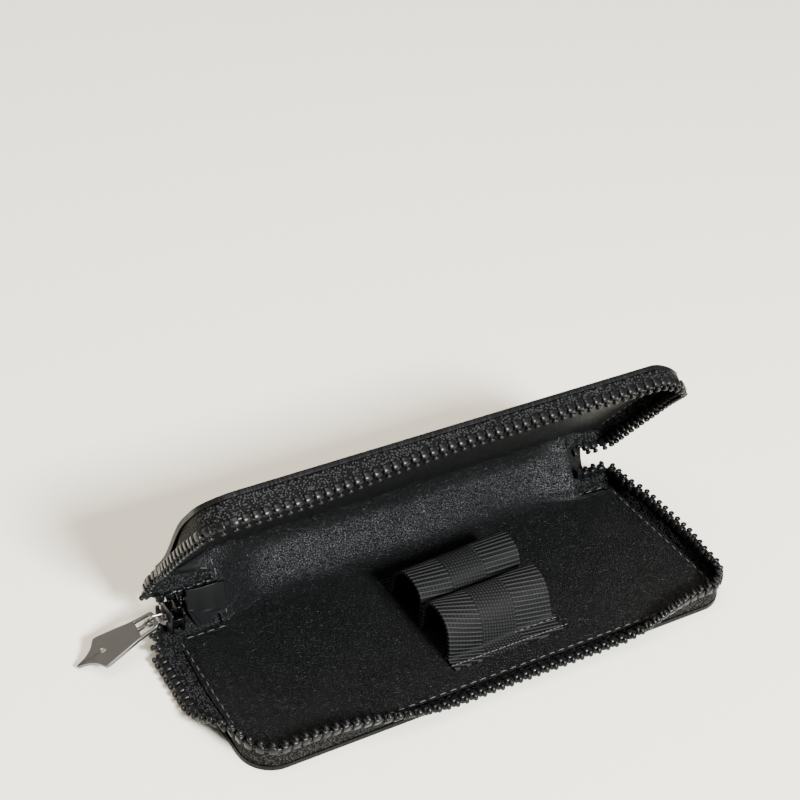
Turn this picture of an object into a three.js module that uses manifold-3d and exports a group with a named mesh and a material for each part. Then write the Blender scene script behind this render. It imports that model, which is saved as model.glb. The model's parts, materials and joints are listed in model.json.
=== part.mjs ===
// A zip-around leather case for two fountain pens, lying open on its base half.
// Millimetres. X runs along the case, the spine is at +Y, +Z is up.
// The origin is the centre of the base panel's underside.
// The lid half is drawn shut, as the base half turned over, and then opened about the hinge line.

import * as THREE from 'three';
import { mergeVertices } from 'three/addons/utils/BufferGeometryUtils.js';
import Module from 'manifold-3d';

const wasm = await Module();
wasm.setup();

// ---- driving dimensions ----

const LENGTH = 165;
const WIDTH = 66;
const CLOSED_HEIGHT = 24;
const FRONT_RADIUS = 10;
const REAR_RADIUS = 8;
const REST_OPENING = THREE.MathUtils.degToRad(52.4);

const GAP = 0.3; // between pieces that touch
const HALF_HEIGHT = CLOSED_HEIGHT / 2;
const MEETING_GAP = 0.15; // from each half to the closing plane

const COVER_THICK = 0.8;
const RIM_WIDTH = 3.0;
const RIM_TOP = 1.5;
const BOARD_LOW = COVER_THICK + GAP;
const BOARD_HIGH = RIM_TOP;
const FLANGE_LOW = RIM_TOP + GAP;
const TAPE_THICK = 0.5;
const LINING_LOW = FLANGE_LOW + TAPE_THICK + GAP;
const LINING_THICK = 0.5;
const LINING_TOP = LINING_LOW + LINING_THICK;

const WALL_INSET = 1.2; // from the cover's edge to the middle of the zip tape
const REAR_WALL_INSET = 2.6;
const WALL_RADIUS_REAR = 3.2;
const FLANGE_WIDTH = 1.4;
const WINDOW_LEFT = -64.3; // where the lining's spine part starts and ends
const WINDOW_RIGHT = 66;
const WINDOW_FRONT_LEFT = 24.3;
const WINDOW_FRONT_RIGHT = 28.3;

const TAPE_HEIGHT = 5.4; // from the flange to the tape's free edge
const JOINED_HEIGHT = 6.2;
const TOOTH_CLEAR = 0.45; // from the tape's free edge to the teeth
const FRONT_HEIGHT = 2.8;
const TOOTH_HEIGHT = 3.8;
const TOOTH_PITCH = 3.1;
const TOOTH_FOOT = 2.0;
const TOOTH_HEAD = 1.0;
const TOOTH_THICK = 2.4;
const CORD_SIZE = 1.3;

const HINGE_Y = WIDTH / 2 + 0.15;
const HINGE_Z = HALF_HEIGHT;

const BAND_LEFT = -13;
const BAND_RIGHT = 25.5;
const BAND_THICK = 0.9;
const LOOP_HALF_WIDTH = 8.0;
const LOOP_TOP = 17.2;
const REAR_LOOP_Y = 5.6;
const FRONT_LOOP_Y = -11.6;
const REAR_FLANGE = 5.0;
const FRONT_FLANGE = 5.0;

const SLIDER_Y = 24;
const SLIDER_LENGTH = 7.8;
const SLIDER_WIDTH = 8.4;
const SLIDER_PLATE = 0.7;
const SLIDER_GAP = 3.0; // between its two plates
const BRIDGE_Y = 24.6;
const BRIDGE_CLEAR = 1.3;
const BRIDGE_THICK = 0.7;
const BRIDGE_WIDTH = 1.8;
const LINK_WIRE = 0.6;
const LINK_NEAR = 1.05; // from the bridge's middle to the wire inside it
const LINK_FAR = 2.85;
const PIVOT_REACH = 1.6; // from the bridge's middle to the puller's end bar

const PULLER_LENGTH = 25.6; // from the pivot to the tip
const PULLER_THICK = 1.2;
const PULLER_BAR = 0.9;
const PULLER_DROP = THREE.MathUtils.degToRad(25);
const PULLER_YAW = THREE.MathUtils.degToRad(-5);

// ---- materials ----

const finish = (color, roughness, metalness = 0) =>
  new THREE.MeshStandardMaterial({ color, roughness, metalness });

const outerLeather = finish('#1b1a1a', 0.5);
const liningLeather = finish('#181717', 0.55);
const board = finish('#6d6357', 0.9);
const tapeCloth = finish('#161617', 0.9);
const tooth = finish('#1c1c1e', 0.4);
const webbing = finish('#151516', 0.85);
const gunmetal = finish('#5d5d60', 0.35, 0.9);
const darkMetal = finish('#2a2a2d', 0.4, 0.8);

// ---- solids ----

function toSolid(geometry) {
  const plain = geometry.index ? geometry.toNonIndexed() : geometry.clone();
  plain.deleteAttribute('normal');
  plain.deleteAttribute('uv');
  const merged = mergeVertices(plain, 1e-5);
  return new wasm.Manifold(new wasm.Mesh({
    numProp: 3,
    vertProperties: new Float32Array(merged.attributes.position.array),
    triVerts: new Uint32Array(merged.index.array),
  }));
}

function toGeometry(solid) {
  const mesh = solid.getMesh();
  const geometry = new THREE.BufferGeometry();
  geometry.setAttribute('position', new THREE.BufferAttribute(mesh.vertProperties, 3));
  geometry.setIndex(new THREE.BufferAttribute(mesh.triVerts, 1));
  geometry.computeVertexNormals();
  return geometry;
}

function join(...geometries) {
  return toGeometry(geometries.map(toSolid).reduce((whole, piece) => whole.add(piece)));
}

function cut(geometry, ...tools) {
  return toGeometry(tools.map(toSolid).reduce((whole, tool) => whole.subtract(tool), toSolid(geometry)));
}

function extrudeUp(shape, low, high, curveSegments = 6) {
  const geometry = new THREE.ExtrudeGeometry(shape, { depth: high - low, bevelEnabled: false, curveSegments });
  return geometry.translate(0, 0, low);
}

// A shape drawn in (Y, Z), extruded along X.
function extrudeAlongX(shape, left, right, curveSegments = 6) {
  const geometry = new THREE.ExtrudeGeometry(shape, { depth: right - left, bevelEnabled: false, curveSegments });
  geometry.applyMatrix4(new THREE.Matrix4().makeBasis(
    new THREE.Vector3(0, 1, 0), new THREE.Vector3(0, 0, 1), new THREE.Vector3(1, 0, 0)));
  return geometry.translate(left, 0, 0);
}

function block(x0, x1, y0, y1, z0, z1) {
  return new THREE.BoxGeometry(x1 - x0, y1 - y0, z1 - z0)
    .translate((x0 + x1) / 2, (y0 + y1) / 2, (z0 + z1) / 2);
}

// The base half turned over becomes the lid half, shut.
function turnedOver(geometry) {
  const plain = geometry.index ? geometry.toNonIndexed() : geometry.clone();
  const position = plain.attributes.position;
  for (let i = 0; i < position.count; i += 1) {
    position.setZ(i, CLOSED_HEIGHT - position.getZ(i));
  }
  const a = new THREE.Vector3();
  const b = new THREE.Vector3();
  for (let i = 0; i < position.count; i += 3) {
    a.fromBufferAttribute(position, i + 1);
    b.fromBufferAttribute(position, i + 2);
    position.setXYZ(i + 1, b.x, b.y, b.z);
    position.setXYZ(i + 2, a.x, a.y, a.z);
  }
  plain.deleteAttribute('normal');
  const merged = mergeVertices(plain, 1e-5);
  merged.computeVertexNormals();
  return merged;
}

// Joins equal rings of points into one closed skin with flat ends.
// The flat ring is the section as drawn: outwards to the right, up the page.
function loft(rings, flatRing) {
  const clockwise = THREE.ShapeUtils.isClockWise(flatRing);
  const turned = (ring) => (clockwise ? [...ring].reverse() : ring);
  const count = flatRing.length;
  const positions = rings.flatMap((ring) => turned(ring).flatMap((p) => [p.x, p.y, p.z]));
  const index = [];
  for (let r = 0; r + 1 < rings.length; r += 1) {
    for (let i = 0; i < count; i += 1) {
      const a = r * count + i;
      const b = r * count + ((i + 1) % count);
      index.push(a, b + count, b, a, a + count, b + count);
    }
  }
  const last = (rings.length - 1) * count;
  for (const [a, b, c] of THREE.ShapeUtils.triangulateShape(turned(flatRing), [])) {
    index.push(a, b, c, last + a, last + c, last + b);
  }
  const geometry = new THREE.BufferGeometry();
  geometry.setAttribute('position', new THREE.Float32BufferAttribute(positions, 3));
  geometry.setIndex(index);
  return geometry;
}

// ---- outlines ----

// The panel's rounded rectangle, drawn this far inside the cover's edge.
function panelOutline(inset, Target = THREE.Shape) {
  const x = LENGTH / 2 - inset;
  const y = WIDTH / 2 - inset;
  const front = Math.max(FRONT_RADIUS - inset, 1);
  const rear = Math.max(REAR_RADIUS - inset, 1);
  const outline = new Target();
  outline.absarc(-x + front, -y + front, front, Math.PI, 1.5 * Math.PI);
  outline.absarc(x - front, -y + front, front, 1.5 * Math.PI, 2 * Math.PI);
  outline.absarc(x - rear, y - rear, rear, 0, 0.5 * Math.PI);
  outline.absarc(-x + rear, y - rear, rear, 0.5 * Math.PI, Math.PI);
  outline.closePath();
  return outline;
}

// The line on which the zip tape stands: from the left window, round the front, to the right window.
function wallPath() {
  const side = LENGTH / 2 - WALL_INSET;
  const front = WIDTH / 2 - WALL_INSET;
  const rear = WIDTH / 2 - REAR_WALL_INSET;
  const rearSide = LENGTH / 2 - REAR_WALL_INSET;
  const r = FRONT_RADIUS - WALL_INSET;
  const q = WALL_RADIUS_REAR;
  const path = new THREE.Path();
  path.moveTo(WINDOW_LEFT - GAP, rear);
  path.lineTo(-rearSide + q, rear);
  path.absarc(-rearSide + q, rear - q, q, 0.5 * Math.PI, Math.PI);
  path.lineTo(-rearSide, SLIDER_Y - SLIDER_LENGTH / 2 - 1);
  path.lineTo(-side, -front + r);
  path.absarc(-side + r, -front + r, r, Math.PI, 1.5 * Math.PI);
  path.lineTo(side - r, -front);
  path.absarc(side - r, -front + r, r, 1.5 * Math.PI, 2 * Math.PI);
  path.lineTo(rearSide, SLIDER_Y - SLIDER_LENGTH / 2 - 1);
  path.lineTo(rearSide, rear - q);
  path.absarc(rearSide - q, rear - q, q, 0, 0.5 * Math.PI);
  path.lineTo(WINDOW_RIGHT + GAP, rear);
  return path;
}

const path = wallPath();
const PATH_LENGTH = path.getLength();

function frameAt(distance) {
  const u = THREE.MathUtils.clamp(distance / PATH_LENGTH, 0, 1);
  const point = path.getPointAt(u);
  const along = path.getTangentAt(u);
  return { point, along, out: new THREE.Vector2(along.y, -along.x) };
}

// Distances along the wall at which it passes a place on one of the straight sides.
const REAR_RUN = LENGTH / 2 - REAR_WALL_INSET - WALL_RADIUS_REAR + WINDOW_LEFT - GAP;
const REAR_CORNER = 0.5 * Math.PI * WALL_RADIUS_REAR;
const FRONT_CORNER = 0.5 * Math.PI * (FRONT_RADIUS - WALL_INSET);
const SIDE_TOP_Y = WIDTH / 2 - REAR_WALL_INSET - WALL_RADIUS_REAR;
const SIDE_LOW_Y = -WIDTH / 2 + FRONT_RADIUS;
const SIDE_RUN = SIDE_TOP_Y - SIDE_LOW_Y;
const FRONT_RUN = LENGTH - 2 * FRONT_RADIUS;
const onLeft = (y) => REAR_RUN + REAR_CORNER + SIDE_TOP_Y - y;
const onFront = (x) => onLeft(SIDE_LOW_Y) + FRONT_CORNER + x + FRONT_RUN / 2;
const onRight = (y) => onFront(FRONT_RUN / 2) + FRONT_CORNER + y - SIDE_LOW_Y;

function swell(distance, start, full, fading, end) {
  const { smoothstep } = THREE.MathUtils;
  return smoothstep(distance, start, full) * (1 - smoothstep(distance, fading, end));
}

// The soft wall leans outwards where nothing holds it; the angle is from upright, in radians.
function baseLean(d) {
  const left = 75 * swell(d, onLeft(19), onLeft(7), onLeft(-2), onLeft(SIDE_LOW_Y - 3));
  const front = 84 * swell(d, onFront(-62), onFront(-15), onFront(38), onFront(71));
  const right = 18 * swell(d, onRight(SIDE_LOW_Y), onRight(-5), onRight(12), onRight(23));
  return THREE.MathUtils.degToRad(left + front + right);
}

function lidLean(d) {
  return THREE.MathUtils.degToRad(6 * swell(d, onFront(-60), onFront(-20), onFront(30), onFront(65)));
}

// Less of the tape shows along the front edge, and a little more where the rows are joined.
function tapeHeight(d, fading, end) {
  const front = (TAPE_HEIGHT - FRONT_HEIGHT) * swell(d, onFront(-58), onFront(-5), fading, end);
  const joined = (JOINED_HEIGHT - TAPE_HEIGHT) * (1 - THREE.MathUtils.smoothstep(d, onLeft(22), onLeft(14)));
  return TAPE_HEIGHT - front + joined;
}

const baseHeight = (d) => tapeHeight(d, onFront(30), onFront(64));
const lidHeight = (d) => tapeHeight(d, onFront(58), onRight(12));

// ---- zip tape and chain ----

const place = (frame, outwards, z) => new THREE.Vector3(
  frame.point.x + outwards * frame.out.x, frame.point.y + outwards * frame.out.y, z);

// A thin strip's section from its middle line, in (outwards, up).
function stripSection(middle, thick) {
  const upper = [];
  const lower = [];
  middle.forEach((p, i) => {
    const before = middle[Math.max(i - 1, 0)];
    const after = middle[Math.min(i + 1, middle.length - 1)];
    const first = p.clone().sub(before);
    const second = after.clone().sub(p);
    if (i === 0) first.copy(second);
    if (i === middle.length - 1) second.copy(first);
    first.normalize();
    second.normalize();
    const normal = new THREE.Vector2(-first.y - second.y, first.x + second.x).normalize();
    const reach = thick / 2 / Math.max(normal.dot(new THREE.Vector2(-first.y, first.x)), 0.35);
    upper.push(p.clone().addScaledVector(normal, reach));
    lower.unshift(p.clone().addScaledVector(normal, -reach));
  });
  return [...upper, ...lower];
}

function stations() {
  const marks = [0, REAR_RUN];
  const arc = (start, length, steps) => {
    for (let i = 0; i <= steps; i += 1) marks.push(start + (length * i) / steps);
  };
  const line = (start, length, step) => {
    for (let d = step; d < length - step / 2; d += step) marks.push(start + d);
  };
  arc(REAR_RUN, REAR_CORNER, 5);
  line(onLeft(SIDE_TOP_Y), SIDE_RUN, 6);
  arc(onLeft(SIDE_LOW_Y), FRONT_CORNER, 6);
  line(onFront(-FRONT_RUN / 2), FRONT_RUN, 8);
  arc(onFront(FRONT_RUN / 2), FRONT_CORNER, 6);
  line(onRight(SIDE_LOW_Y), SIDE_RUN, 8);
  arc(onRight(SIDE_TOP_Y), REAR_CORNER, 5);
  marks.push(PATH_LENGTH);
  return [...new Set(marks.map((m) => Math.round(m * 100) / 100))].sort((a, b) => a - b);
}

function tape(lean, height) {
  const middleZ = FLANGE_LOW + TAPE_THICK / 2;
  const rings = [];
  let flat = null;
  for (const d of stations()) {
    const angle = lean(d);
    const h = height(d);
    const section = stripSection([
      new THREE.Vector2(-FLANGE_WIDTH, middleZ),
      new THREE.Vector2(0, middleZ),
      new THREE.Vector2(h * Math.sin(angle), middleZ + h * Math.cos(angle)),
    ], TAPE_THICK);
    const frame = frameAt(d);
    rings.push(section.map((p) => place(frame, p.x, p.y)));
    flat ??= section;
  }
  return loft(rings, flat);
}

// The moulded cord along the tape's free edge, from one distance to another.
function beadCord(lean, height, start, end) {
  const half = CORD_SIZE / 2;
  const marks = [start, ...stations().filter((d) => d > start + 0.5 && d < end - 0.5), end];
  const square = [[-half, 0], [half, 0], [half, CORD_SIZE], [-half, CORD_SIZE]];
  const flat = square.map(([a, b]) => new THREE.Vector2(a, b));
  const rings = marks.map((d) => square.map(([across, up]) => {
    const [outwards, z] = aboveTape(lean(d), height(d) + TOOTH_CLEAR + up, across);
    return place(frameAt(d), outwards, z);
  }));
  return loft(rings, flat);
}

// A point measured up the leaning wall and across its thickness.
function aboveTape(angle, up, across) {
  return [
    up * Math.sin(angle) + across * Math.cos(angle),
    FLANGE_LOW + TAPE_THICK / 2 + up * Math.cos(angle) - across * Math.sin(angle),
  ];
}

const toothOutline = new THREE.Shape([
  [-TOOTH_FOOT / 2, 0], [TOOTH_FOOT / 2, 0], [TOOTH_HEAD / 2, TOOTH_HEIGHT], [-TOOTH_HEAD / 2, TOOTH_HEIGHT],
].map(([x, y]) => new THREE.Vector2(x, y)));

function toothAt(d, lean, height, pointsDown = false) {
  const frame = frameAt(d);
  const angle = lean(d);
  const along = new THREE.Vector3(frame.along.x, frame.along.y, 0);
  const up = new THREE.Vector3(frame.out.x * Math.sin(angle), frame.out.y * Math.sin(angle), Math.cos(angle));
  if (pointsDown) {
    up.negate();
    along.negate();
  }
  const across = new THREE.Vector3().crossVectors(along, up);
  const geometry = new THREE.ExtrudeGeometry(toothOutline, { depth: TOOTH_THICK, bevelEnabled: false });
  geometry.translate(0, 0, -TOOTH_THICK / 2);
  const [outwards, z] = aboveTape(angle, height(d) + TOOTH_CLEAR, 0);
  const foot = place(frame, outwards, pointsDown ? CLOSED_HEIGHT - z : z);
  geometry.applyMatrix4(new THREE.Matrix4().makeBasis(along, up, across).setPosition(foot));
  return geometry;
}

const OPEN_START = onLeft(SLIDER_Y - SLIDER_LENGTH / 2 - 0.6);
const OPEN_END = PATH_LENGTH - 3.2;

function chain(lean, height, offset) {
  const pieces = [beadCord(lean, height, OPEN_START, OPEN_END)];
  for (let d = OPEN_START + 1.3 + offset; d < OPEN_END - 1.2; d += TOOTH_PITCH) {
    pieces.push(toothAt(d, lean, height));
  }
  return join(...pieces);
}

const upright = () => 0;
const joinedHeight = () => JOINED_HEIGHT;

// The stretch behind the slider, where both rows stay locked together.
const JOINED_START = 2.6;
const JOINED_END = onLeft(SLIDER_Y - 0.6);

function joinedChain() {
  const low = beadCord(upright, joinedHeight, JOINED_START, JOINED_END);
  const pieces = [low, turnedOver(low)];
  for (let d = JOINED_START + 1; d < JOINED_END - 2.4; d += TOOTH_PITCH) {
    pieces.push(toothAt(d, upright, joinedHeight));
    pieces.push(toothAt(d + TOOTH_PITCH / 2, upright, joinedHeight, true));
  }
  const web = 0.7;
  const marks = [JOINED_START, ...stations().filter((d) => d > JOINED_START + 0.5 && d < JOINED_END), JOINED_END];
  const lowZ = FLANGE_LOW + JOINED_HEIGHT + TOOTH_CLEAR + 0.6;
  const highZ = CLOSED_HEIGHT - lowZ;
  const square = [[-web / 2, lowZ], [web / 2, lowZ], [web / 2, highZ], [-web / 2, highZ]];
  const rings = marks.map((d) => square.map(([a, z]) => place(frameAt(d), a, z)));
  pieces.push(loft(rings, square.map(([a, z]) => new THREE.Vector2(a, z))));
  return join(...pieces);
}

function topStop() {
  const d = OPEN_END + 1.4;
  const frame = frameAt(d);
  const z = FLANGE_LOW + TAPE_HEIGHT + TOOTH_CLEAR + 0.4;
  return block(-0.95, 0.95, -1.0, 1.0, 0, 2.4).applyMatrix4(new THREE.Matrix4().makeBasis(
    new THREE.Vector3(frame.along.x, frame.along.y, 0),
    new THREE.Vector3(-frame.along.y, frame.along.x, 0),
    new THREE.Vector3(0, 0, 1),
  ).setPosition(place(frame, 0, z)));
}

function bottomStop() {
  const rear = WIDTH / 2 - REAR_WALL_INSET;
  const right = WINDOW_LEFT - GAP - 0.3;
  return block(right - 1.7, right, rear - 1.1, rear + 1.1, HALF_HEIGHT - 2.6, HALF_HEIGHT + 2.6);
}

// ---- leather, board and lining ----

function cover() {
  const plate = extrudeUp(panelOutline(0), 0, COVER_THICK);
  const ring = panelOutline(0);
  ring.holes.push(panelOutline(RIM_WIDTH, THREE.Path));
  const rim = extrudeUp(ring, COVER_THICK / 2, RIM_TOP);
  return join(plate, rim);
}

// The spine's leather below the closing plane.
function spine() {
  const flat = LENGTH / 2 - REAR_RADIUS;
  return block(-flat, flat, WIDTH / 2 - COVER_THICK, WIDTH / 2, RIM_TOP + GAP, HALF_HEIGHT - MEETING_GAP);
}

function stiffener() {
  return extrudeUp(panelOutline(RIM_WIDTH + GAP), BOARD_LOW, BOARD_HIGH);
}

function lining() {
  const inset = WALL_INSET + TAPE_THICK / 2 + GAP;
  const x = LENGTH / 2 - inset;
  const front = WIDTH / 2 - inset;
  const r = FRONT_RADIUS - inset;
  const shape = new THREE.Shape();
  shape.absarc(-x + r, -front + r, r, Math.PI, 1.5 * Math.PI);
  shape.absarc(x - r, -front + r, r, 1.5 * Math.PI, 2 * Math.PI);
  const rearX = x - REAR_WALL_INSET + WALL_INSET;
  const bendY = SLIDER_Y - SLIDER_LENGTH / 2 - 1;
  shape.lineTo(rearX, bendY);
  shape.lineTo(rearX, WINDOW_FRONT_RIGHT - 3);
  shape.lineTo(rearX - 3, WINDOW_FRONT_RIGHT);
  shape.lineTo(0, WINDOW_FRONT_RIGHT);
  shape.lineTo(0, WINDOW_FRONT_LEFT);
  shape.lineTo(-rearX, WINDOW_FRONT_LEFT);
  shape.lineTo(-rearX, bendY);
  shape.closePath();
  const floor = extrudeUp(shape, LINING_LOW, LINING_TOP);
  // The spine part: from the floor, up a round valley, to the closing plane.
  const outer = WIDTH / 2 - COVER_THICK - GAP;
  const bend = 6;
  const section = new THREE.Shape();
  section.moveTo(WINDOW_FRONT_LEFT - 1, LINING_LOW);
  section.absarc(outer - bend, LINING_LOW + bend, bend, -0.5 * Math.PI, 0);
  section.lineTo(outer, HALF_HEIGHT - MEETING_GAP);
  section.lineTo(outer - LINING_THICK, HALF_HEIGHT - MEETING_GAP);
  section.absarc(outer - bend, LINING_LOW + bend, bend - LINING_THICK, 0, -0.5 * Math.PI, true);
  section.lineTo(WINDOW_FRONT_LEFT - 1, LINING_TOP);
  section.closePath();
  return join(floor, extrudeAlongX(section, WINDOW_LEFT, WINDOW_RIGHT));
}

// A leather tab folded over the end of the joined chain.
function endTab() {
  const rear = WIDTH / 2 - REAR_WALL_INSET;
  const face = rear - TOOTH_THICK / 2 - GAP;
  const left = WINDOW_LEFT - 8.6;
  const right = WINDOW_LEFT - GAP;
  const section = new THREE.Shape();
  section.moveTo(face, 6.2);
  section.lineTo(face, HALF_HEIGHT + 3.4);
  section.lineTo(face - 0.8, HALF_HEIGHT + 3.4);
  section.lineTo(face - 1.3, HALF_HEIGHT - 1);
  section.lineTo(face - 0.8, 6.2);
  section.closePath();
  return extrudeAlongX(section, left, right);
}

// ---- pen loops ----

function loopBand() {
  const floor = LINING_TOP + GAP + BAND_THICK / 2;
  const r = LOOP_HALF_WIDTH - BAND_THICK / 2;
  const arcZ = LOOP_TOP - BAND_THICK / 2 - r;
  const middle = [new THREE.Vector2(REAR_LOOP_Y + r + REAR_FLANGE, floor)];
  const addLoop = (y) => {
    middle.push(new THREE.Vector2(y + r, floor));
    const steps = 14;
    for (let i = 0; i <= steps; i += 1) {
      const a = (Math.PI * i) / steps;
      middle.push(new THREE.Vector2(y + r * Math.cos(a), arcZ + r * Math.sin(a)));
    }
    middle.push(new THREE.Vector2(y - r, floor));
  };
  addLoop(REAR_LOOP_Y);
  addLoop(FRONT_LOOP_Y);
  middle.push(new THREE.Vector2(FRONT_LOOP_Y - r - FRONT_FLANGE, floor));
  return extrudeAlongX(new THREE.Shape(stripSection(middle, BAND_THICK)), BAND_LEFT, BAND_RIGHT);
}

// ---- slider and puller ----

const WALL_X = -(LENGTH / 2 - REAR_WALL_INSET);
const OUTER_PLATE_X = WALL_X - SLIDER_GAP / 2 - SLIDER_PLATE;
const CROWN_X = OUTER_PLATE_X - BRIDGE_CLEAR - BRIDGE_THICK;

// Two plates either side of the chain, lipped along their edges and joined by a post at the mouth.
function sliderBody() {
  const [y0, y1] = [SLIDER_Y - SLIDER_LENGTH / 2, SLIDER_Y + SLIDER_LENGTH / 2];
  const [z0, z1] = [HINGE_Z - SLIDER_WIDTH / 2, HINGE_Z + SLIDER_WIDTH / 2];
  const lip = 0.9;
  const chamfer = 1.6;
  const plateShape = new THREE.Shape([
    [y0, z0 + chamfer / 2], [y0 + chamfer, z0], [y1 - chamfer, z0], [y1, z0 + chamfer],
    [y1, z1 - chamfer], [y1 - chamfer, z1], [y0 + chamfer, z1], [y0, z1 - chamfer / 2],
  ].map(([y, z]) => new THREE.Vector2(y, z)));
  const outer = extrudeAlongX(plateShape, OUTER_PLATE_X, OUTER_PLATE_X + SLIDER_PLATE);
  const innerX = WALL_X + SLIDER_GAP / 2;
  const inner = extrudeAlongX(plateShape, innerX, innerX + SLIDER_PLATE);
  const post = block(OUTER_PLATE_X + 0.2, innerX + 0.2, y0 + 0.4, y0 + 1.8, HINGE_Z - 1.2, HINGE_Z + 1.2);
  const lips = [];
  for (const [xa, xb] of [[OUTER_PLATE_X + 0.2, OUTER_PLATE_X + SLIDER_PLATE + lip],
    [innerX - lip, innerX + 0.5]]) {
    lips.push(block(xa, xb, y0 + chamfer, y1 - chamfer, z0, z0 + 0.7));
    lips.push(block(xa, xb, y0 + chamfer + 0.6, y1 - chamfer, z1 - 0.7, z1));
  }
  return join(outer, inner, post, ...lips);
}

// The strap on the outer plate that the link hangs from.
function sliderBridge() {
  const [y0, y1] = [BRIDGE_Y - 2.8, BRIDGE_Y + 2.8];
  const foot = OUTER_PLATE_X - GAP;
  const shape = new THREE.Shape();
  shape.moveTo(foot, y0);
  shape.lineTo(CROWN_X + 0.9, y0);
  shape.lineTo(CROWN_X, y0 + 1.2);
  shape.lineTo(CROWN_X, y1 - 1.2);
  shape.lineTo(CROWN_X + 0.9, y1);
  shape.lineTo(foot, y1);
  shape.lineTo(foot, y1 - 1);
  shape.lineTo(CROWN_X + 1.2, y1 - 1);
  shape.lineTo(CROWN_X + BRIDGE_THICK, y1 - 1.7);
  shape.lineTo(CROWN_X + BRIDGE_THICK, y0 + 1.7);
  shape.lineTo(CROWN_X + 1.2, y0 + 1);
  shape.lineTo(foot, y0 + 1);
  shape.closePath();
  return extrudeUp(shape, HINGE_Z - BRIDGE_WIDTH / 2, HINGE_Z + BRIDGE_WIDTH / 2);
}

// The cap over the bridge's rear foot, which holds the locking spring.
function sliderCap() {
  const x = OUTER_PLATE_X - GAP;
  const y = BRIDGE_Y + 2.8 + GAP;
  return block(x - 1.1, x, y, y + 0.8, HINGE_Z - 1.6, HINGE_Z + 1.6);
}

// A wire ring through the bridge and the puller's eye, measured from the bridge's middle.
function link() {
  const halfLong = (LINK_NEAR + LINK_FAR + LINK_WIRE) / 2;
  const halfTall = BRIDGE_WIDTH / 2 + GAP + LINK_WIRE;
  const oval = (Target, inset, radius) => {
    const [a, b] = [halfLong - inset - radius, halfTall - inset - radius];
    const outline = new Target();
    outline.absarc(a, b, radius, 0, 0.5 * Math.PI);
    outline.absarc(-a, b, radius, 0.5 * Math.PI, Math.PI);
    outline.absarc(-a, -b, radius, Math.PI, 1.5 * Math.PI);
    outline.absarc(a, -b, radius, 1.5 * Math.PI, 2 * Math.PI);
    outline.closePath();
    return outline;
  };
  const ring = oval(THREE.Shape, 0, 0.55 + LINK_WIRE);
  ring.holes.push(oval(THREE.Path, LINK_WIRE, 0.55));
  return extrudeUp(ring, -LINK_WIRE / 2, LINK_WIRE / 2, 4)
    .rotateX(Math.PI / 2)
    .translate((LINK_NEAR - LINK_FAR) / 2, 0, 0);
}

// A flat nib with an eye and two slots, drawn along +X from its pivot and turned to run along -X.
function puller() {
  const points = (list) => list.map(([x, y]) => new THREE.Vector2(x, y));
  const flank = [[0.2, 3.3], [3, 3.5], [7, 4], [10, 4.7], [14, 5.5], [17.9, 6.1], [18.5, 5.6]];
  const blade = [[20, 3.1], [22, 1.6], [24, 0.75], [PULLER_LENGTH - 0.3, 0.45], [PULLER_LENGTH, 0.2]];
  const right = [[-PULLER_BAR / 2, 2.7], ...flank, ...blade];
  const left = right.map(([x, y]) => [x, -y]).reverse();
  const shape = new THREE.Shape(points([...left.reverse(), ...right.reverse()]));
  const eye = [[0.45, -0.65], [2.2, -0.65], [2.7, -0.2], [2.7, 0.2], [2.2, 0.65], [0.45, 0.65]];
  const slot = [[0.7, 1.2], [2.4, 1.2], [3.4, 0.45], [5.4, 0.45], [5.4, 3.05], [0.7, 2.65]];
  shape.holes.push(new THREE.Path(points(eye)));
  shape.holes.push(new THREE.Path(points(slot)));
  shape.holes.push(new THREE.Path(points(slot.map(([x, y]) => [x, -y]))));
  shape.holes.push(new THREE.Path().absarc(16.9, 0, 0.9, 0, 2 * Math.PI));
  return extrudeUp(shape, -PULLER_THICK / 2, PULLER_THICK / 2, 6).rotateZ(Math.PI);
}

// ---- assembly ----

const group = new THREE.Group();
const lidHinge = new THREE.Group();
lidHinge.position.set(0, HINGE_Y, HINGE_Z);
lidHinge.rotation.x = -REST_OPENING;
group.add(lidHinge);

function add(name, geometry, material, parent = group) {
  const mesh = new THREE.Mesh(geometry, material);
  mesh.name = name;
  if (parent === lidHinge) mesh.position.set(0, -HINGE_Y, -HINGE_Z);
  parent.add(mesh);
  return mesh;
}

add('base_cover', cover(), outerLeather);
add('base_spine', spine(), outerLeather);
add('base_stiffener', stiffener(), board);
add('base_lining', lining(), liningLeather);
add('base_zip_tape', tape(baseLean, baseHeight), tapeCloth);
add('base_zip_teeth', chain(baseLean, baseHeight, 0), tooth);
add('base_top_stop', topStop(), tooth);
add('joined_zip_teeth', joinedChain(), tooth);
add('zip_bottom_stop', bottomStop(), tooth);
add('zip_end_tab', endTab(), outerLeather);
add('pen_loop_band', loopBand(), webbing);
add('slider_body', sliderBody(), darkMetal);
add('slider_bridge', sliderBridge(), gunmetal);
add('slider_cap', sliderCap(), darkMetal);

const linkHinge = new THREE.Group();
linkHinge.position.set(CROWN_X + BRIDGE_THICK / 2, BRIDGE_Y, HINGE_Z);
linkHinge.rotation.z = PULLER_YAW;
group.add(linkHinge);
add('puller_link', link(), gunmetal, linkHinge);

const pullerHinge = new THREE.Group();
pullerHinge.position.set(-PIVOT_REACH, 0, 0);
pullerHinge.rotation.y = -PULLER_DROP;
linkHinge.add(pullerHinge);
add('puller', puller(), gunmetal, pullerHinge);

add('lid_cover', turnedOver(cover()), outerLeather, lidHinge);
add('lid_spine', turnedOver(spine()), outerLeather, lidHinge);
add('lid_stiffener', turnedOver(stiffener()), board, lidHinge);
add('lid_lining', turnedOver(lining()), liningLeather, lidHinge);
add('lid_zip_tape', turnedOver(tape(lidLean, lidHeight)), tapeCloth, lidHinge);
add('lid_zip_teeth', turnedOver(chain(lidLean, lidHeight, TOOTH_PITCH / 2)), tooth, lidHinge);
add('lid_top_stop', turnedOver(topStop()), tooth, lidHinge);

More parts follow.
